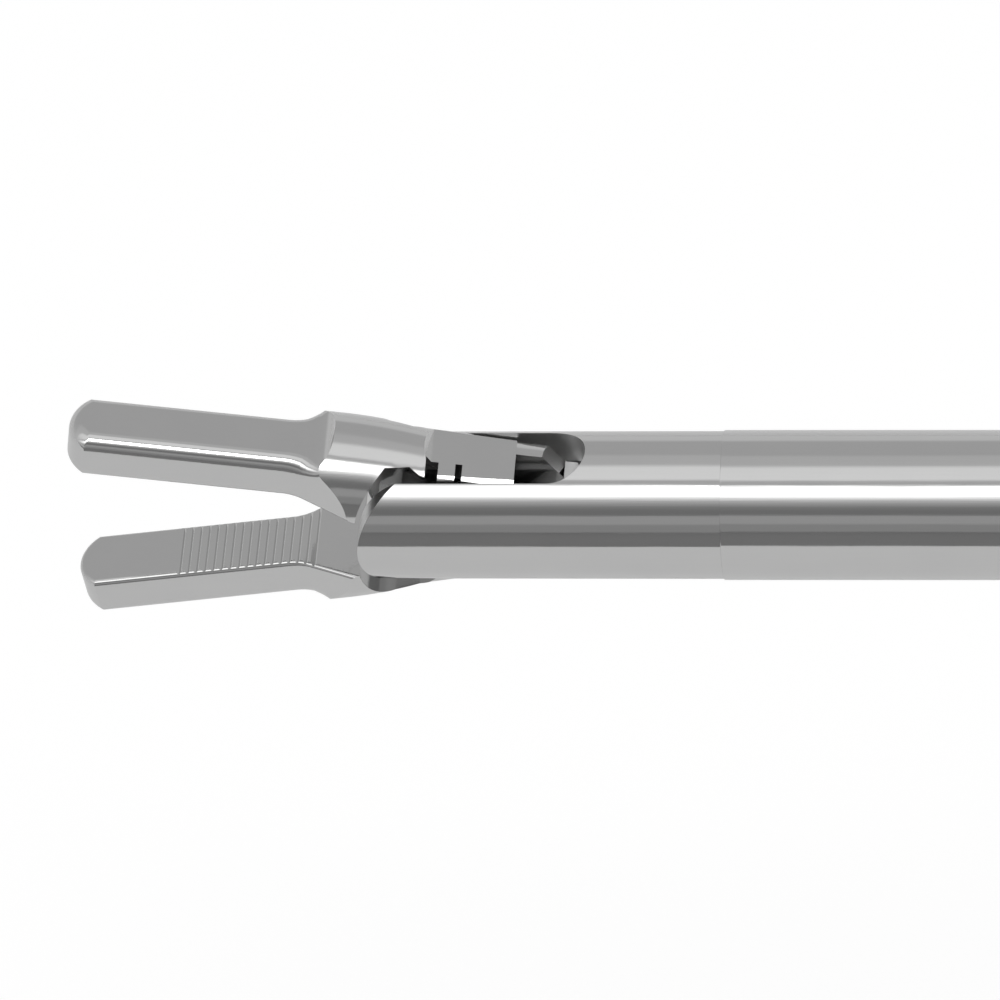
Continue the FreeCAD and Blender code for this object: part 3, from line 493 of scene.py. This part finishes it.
FINISHES = {
    "jaw_steel": SteelFinish("jaw_satin_steel", 0.68, 0.10, Direction.ALONG_X),
    "shaft_steel": SteelFinish("shaft_polished_steel", 0.68, 0.07, Direction.ALONG_X),
    "fork_steel": SteelFinish("ground_fork_steel", 0.68, 0.07, Direction.ALONG_X, ground_above=4.8 * MM),
    "pin_steel": SteelFinish("turned_pin_steel", 0.62, 0.26, Direction.EVEN, cloud_scale=500.0),
    "port_steel": SteelFinish("turned_port_steel", 0.66, 0.14, Direction.ALONG_Z),
    "bronze_bush": BronzeFinish("bearing_bronze"),
    "guide_plastic": PlasticFinish("natural_white_plastic", (0.80, 0.80, 0.77), (0.70, 0.70, 0.67), 0.42),
    "seal_rubber": PlasticFinish("seal_black_rubber", (0.035, 0.035, 0.037), (0.02, 0.02, 0.022), 0.55),
    "knob_plastic": PlasticFinish("knob_black_plastic", *MOULDED_BLACK, 0.40),
    "handle_plastic": PlasticFinish("handle_black_plastic", *MOULDED_BLACK, 0.44),
}


class FinishRack:
    """The made materials, one for each finish."""

    def __init__(self) -> None:
        """Makes every material once."""
        self.made = {slot: finish.make() for slot, finish in FINISHES.items()}

    def dress(self, piece: bpy.types.Object, slot: str) -> None:
        """Gives a piece one finish."""
        piece.data.materials.clear()
        piece.data.materials.append(self.made[slot])


@dataclass
class SubAssembly:
    """Some CAD pieces that are dressed together."""

    frame: dict[str, Any]
    finishes: FinishRack
    slots: dict[str, str] = field(default_factory=dict)

    def build(self) -> None:
        """Dresses each CAD piece and reports it."""
        for node, slot in self.slots.items():
            piece = self.frame["nodes"][node]
            self.finishes.dress(piece, slot)
            LOG.info("%s: %s", node, slot)
        self.add_pieces()

    def add_pieces(self) -> None:
        """Adds pieces of the scene's own, where there are any."""


@dataclass
class WorkingEnd(SubAssembly):
    """The two jaws, the fork that carries them and their drive."""

    slots: dict[str, str] = field(default_factory=lambda: {
        "upper_jaw": "jaw_steel", "lower_jaw": "jaw_steel", "end_fork": "fork_steel",
        "pivot_pin": "fork_steel", "cam_pin": "pin_steel", "drive_yoke": "pin_steel",
        "push_rod": "pin_steel"})


def turned_mesh(name: str, profile: Sequence[tuple[float, float]], steps: int) -> bpy.types.Object:
    """Turns a closed profile about the X axis.

    Args:
        name: The new object's name.
        profile: Points as (distance along X, radius), in metres, in order round the section.
        steps: Facets round the axis.

    Returns:
        The object.
    """
    mesh = bpy.data.meshes.new(name)
    work = bmesh.new()
    loops = []
    for along, radius in profile:
        loop = []
        for step in range(steps):
            angle = math.tau * step / steps
            loop.append(work.verts.new((along, radius * math.cos(angle), radius * math.sin(angle))))
        loops.append(loop)
    for ring, near in enumerate(loops):
        far = loops[(ring + 1) % len(loops)]
        for step in range(steps):
            after = (step + 1) % steps
            work.faces.new((near[step], near[after], far[after], far[step]))
    bmesh.ops.recalc_face_normals(work, faces=work.faces)
    work.to_mesh(mesh)
    work.free()
    piece = bpy.data.objects.new(name, mesh)
    bpy.context.scene.collection.objects.link(piece)
    return piece


def smooth_by_angle(piece: bpy.types.Object, angle: float = 30.0) -> None:
    """Shades a mesh smooth except over its sharp edges."""
    piece.data.shade_smooth()
    piece.data.set_sharp_from_angle(angle=math.radians(angle))


@dataclass
class Shaft(SubAssembly):
    """The long tube, the rod's guides and the flush collar.

    The tube is turned here with many facets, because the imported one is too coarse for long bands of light.
    Its places are measured along the shaft from the written origin.
    """

    slots: dict[str, str] = field(default_factory=lambda: {
        "rod_guides": "guide_plastic", "flush_collar": "shaft_steel", "flush_port": "port_steel"})
    tube_radius: float = 5.0 * MM
    tube_seat: float = 4.8 * MM
    tube_bore: float = 4.2 * MM
    tube_front: float = -1.67 * MM
    tube_step: float = 264.0 * MM
    tube_rear: float = 308.0 * MM
    tube_edge: float = 0.06 * MM
    edge_bow: float = 0.3
    tube_steps: int = 160

    def add_pieces(self) -> None:
        """Turns the fine tube that stands for the CAD tube."""
        edge = self.tube_edge
        bow = edge * self.edge_bow
        profile = [
            (self.tube_front, self.tube_bore + edge),
            (self.tube_front, self.tube_radius - edge),
            (self.tube_front + bow, self.tube_radius - bow),
            (self.tube_front + edge, self.tube_radius),
            (self.tube_step, self.tube_radius),
            (self.tube_step, self.tube_seat),
            (self.tube_rear - edge, self.tube_seat),
            (self.tube_rear, self.tube_seat - edge),
            (self.tube_rear, self.tube_bore),
            (self.tube_front + edge, self.tube_bore),
        ]
        tube = turned_mesh("shaft_tube", profile, self.tube_steps)
        smooth_by_angle(tube)
        self.finishes.dress(tube, "shaft_steel")
        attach(tube, "shaft")
        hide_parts("outer_tube")
        LOG.info("shaft_tube: shaft_steel")


@dataclass
class HubAndKnob(SubAssembly):
    """The turning knob with the hub, seal and ring behind it."""

    slots: dict[str, str] = field(default_factory=lambda: {
        "shaft_hub": "shaft_steel", "rotation_knob": "knob_plastic", "knob_screws": "pin_steel",
        "thrust_washer": "guide_plastic", "retaining_ring": "pin_steel", "rod_seal": "seal_rubber",
        "seal_cap": "pin_steel"})


@dataclass
class RingHandle(SubAssembly):
    """The fixed finger grip, the thumb lever and what joins them."""

    slots: dict[str, str] = field(default_factory=lambda: {
        "handle_body": "handle_plastic", "thumb_lever": "handle_plastic", "lever_screw": "pin_steel",
        "lever_nut": "pin_steel", "lever_bush": "bronze_bush", "rod_ball": "pin_steel",
        "rod_lock_nut": "pin_steel"})


@dataclass
class Studio:
    """A pale table top, soft light from a banded sky, and the camera.

    The camera looks down on the shaft at the photograph's elevation and tilt, and puts the jaw pivot on its
    pixel of the photograph. The sky lists angles round the shaft, in degrees from the front horizon upwards,
    each with the sky's brightness there.
    """

    floor_drop: float = 2.0 * MM
    floor_half: float = 4.0
    dark_front: float = -0.185
    elevation: float = 43.0
    tilt: float = 5.0
    pixels_per_mm: float = 15.0
    picture: float = 1000.0
    pivot_pixel: tuple[float, float] = (600.0, 505.0)
    pivot_along: float = -10.0 * MM
    distance: float = 0.9
    sensor: float = 36.0
    clip_near: float = 0.01
    clip_far: float = 50.0
    sky: tuple[tuple[float, float], ...] = (
        (-180.0, 0.55), (-30.0, 0.55), (-27.0, 0.20), (-2.0, 0.20), (0.0, 0.29), (11.0, 0.29), (13.0, 0.38),
        (25.0, 0.38), (27.0, 0.20), (33.0, 0.20), (36.5, 0.22), (39.5, 0.25), (42.5, 0.34), (45.5, 0.43),
        (49.0, 0.56), (51.5, 0.80), (54.0, 1.10), (56.0, 1.50), (57.5, 1.80), (72.8, 1.80), (75.0, 0.50),
        (81.0, 0.52), (84.0, 0.88), (104.0, 0.86), (110.0, 0.55), (126.0, 0.53), (130.0, 0.46), (160.0, 0.46),
        (166.0, 0.62), (180.0, 0.62))
    sky_scale: float = 2.0
    end_light: float = 0.6
    end_sharpness: float = 6.0
    floor_tone: Colour = (0.78, 0.78, 0.78)
    # Table colour seen only in reflections, in front of dark_front: a painted reflection, not a real card.
    reflected_dark_tone: Colour = (0.25, 0.25, 0.25)
    floor_white: float = 1.14
    floor_share: float = 0.72
    lamp_power: float = 1.6
    lamp_size: float = 0.3
    lamp_place: tuple[float, float, float] = (0.05, -0.52, 1.12)
    lamp_aim: tuple[float, float, float] = (0.15, 0.0, 0.0)

    def build(self) -> None:
        """Sets up floor, sky, lamp and camera."""
        self.lay_floor()
        self.paint_sky()
        self.hang_lamp()
        self.aim_camera()
        bpy.context.scene.view_settings.view_transform = "Standard"

    def lay_floor(self) -> None:
        """Lays the table top just under the object's lowest point.

        For glossy rays only, the near part of the table is painted dark. This is a painted reflection, which
        the steel shows as it would show a dark card laid there.
        """
        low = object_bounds()[0][2] - self.floor_drop
        mesh = bpy.data.meshes.new("table_top")
        half = self.floor_half
        corners = [(-half, -half, low), (half, -half, low), (half, half, low), (-half, half, low)]
        mesh.from_pydata(corners, [], [(0, 1, 2, 3)])
        floor = bpy.data.objects.new("table_top", mesh)
        bpy.context.scene.collection.objects.link(floor)
        material, shader = fresh_material("pale_table")
        paths = shader.node("ShaderNodeLightPath")
        split = shader.node("ShaderNodeSeparateXYZ", None, {0: shader.place()})
        # Painted reflection: glossy rays see the table in front of dark_front in the darker tone, so the steel
        # shows a dark band there. Camera and diffuse rays see the plain table.
        near = 1.0 - shader.term(split, "Y").above(self.dark_front)
        reflected_dark = shader.blend(near * shader.term(paths, "Is Glossy Ray"), self.floor_tone, self.reflected_dark_tone)
        matte = shader.node("ShaderNodeBsdfDiffuse", None, {"Color": reflected_dark})
        white = shader.node("ShaderNodeEmission", None, {"Color": WHITE, "Strength": self.floor_white})
        share = shader.term(paths, "Is Camera Ray") * self.floor_share
        mixed = shader.node("ShaderNodeMixShader", None,
                            {0: share, 1: shader.term(matte), 2: shader.term(white)})
        shader.node("ShaderNodeOutputMaterial", None, {"Surface": shader.term(mixed)})
        floor.data.materials.append(material)
        floor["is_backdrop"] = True

    def paint_sky(self) -> None:
        """Paints the sky in soft bands round the shaft, and plain white for the camera."""
        world = bpy.data.worlds.new("studio_sky")
        bpy.context.scene.world = world
        world.use_nodes = True
        shader = Shader(world.node_tree)
        source = shader.node("ShaderNodeTexCoord")
        split = shader.node("ShaderNodeSeparateXYZ", None, {0: shader.term(source, "Generated")})
        along, across, up = (shader.term(split, part) for part in ("X", "Y", "Z"))
        turn = up.arc_tangent(-across) / math.tau + 0.5
        stops = [(angle / 360.0 + 0.5, level / self.sky_scale) for angle, level in self.sky]
        ramp = shader.node("ShaderNodeValToRGB", {"stops": stops}, {"Fac": turn})
        bands = shader.term(ramp) * self.sky_scale
        ends = abs(along) ** self.end_sharpness
        light = bands * (1.0 - ends) + ends * self.end_light
        seen = shader.term(shader.node("ShaderNodeLightPath"), "Is Camera Ray")
        strength = light * (1.0 - seen) + seen
        back = shader.node("ShaderNodeBackground", None, {"Color": WHITE, "Strength": strength})
        shader.node("ShaderNodeOutputWorld", None, {"Surface": shader.term(back)})

    def hang_lamp(self) -> None:
        """Hangs one soft lamp above and in front, inside the sky's brightest band."""
        data = bpy.data.lights.new("soft_lamp", "AREA")
        data.energy = self.lamp_power
        data.size = self.lamp_size
        lamp = bpy.data.objects.new("soft_lamp", data)
        bpy.context.scene.collection.objects.link(lamp)
        lamp.location = self.lamp_place
        aim = Vector(self.lamp_aim) - lamp.location
        lamp.rotation_euler = aim.to_track_quat("-Z", "Y").to_euler()

    def aim_camera(self) -> None:
        """Places the camera at the photograph's angle and scale."""
        rise = math.radians(self.elevation)
        side = math.radians(self.tilt)
        back = Vector((math.sin(side), -math.cos(side) * math.cos(rise), math.cos(side) * math.sin(rise)))
        right = Vector((math.cos(side), math.sin(side) * math.cos(rise), -math.sin(side) * math.sin(rise)))
        up = back.cross(right)
        across = (self.picture / 2.0 - self.pivot_pixel[0]) / self.pixels_per_mm * MM
        rising = (self.pivot_pixel[1] - self.picture / 2.0) / self.pixels_per_mm * MM
        target = Vector((self.pivot_along, 0.0, 0.0)) + right * across + up * rising
        data = bpy.data.cameras.new("photo_camera")
        data.sensor_width = self.sensor
        data.lens = self.sensor * self.distance / (self.picture / self.pixels_per_mm * MM)
        data.clip_start = self.clip_near
        data.clip_end = self.clip_far
        camera = bpy.data.objects.new("photo_camera", data)
        bpy.context.scene.collection.objects.link(camera)
        camera.matrix_world = Matrix.Translation(target + back * self.distance) @ Matrix(
            (right, up, back)).transposed().to_4x4()
        bpy.context.scene.camera = camera


def main(frame: dict[str, Any]) -> None:
    """Builds every sub-assembly in order, then the studio.
    """
    logging.basicConfig(level=logging.INFO, format="%(message)s")
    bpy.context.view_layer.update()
    finishes = FinishRack()
    for kind in (WorkingEnd, Shaft, HubAndKnob, RingHandle):
        kind(frame, finishes).build()
    Studio().build()


if __name__ == "__main__":
    main(frame)
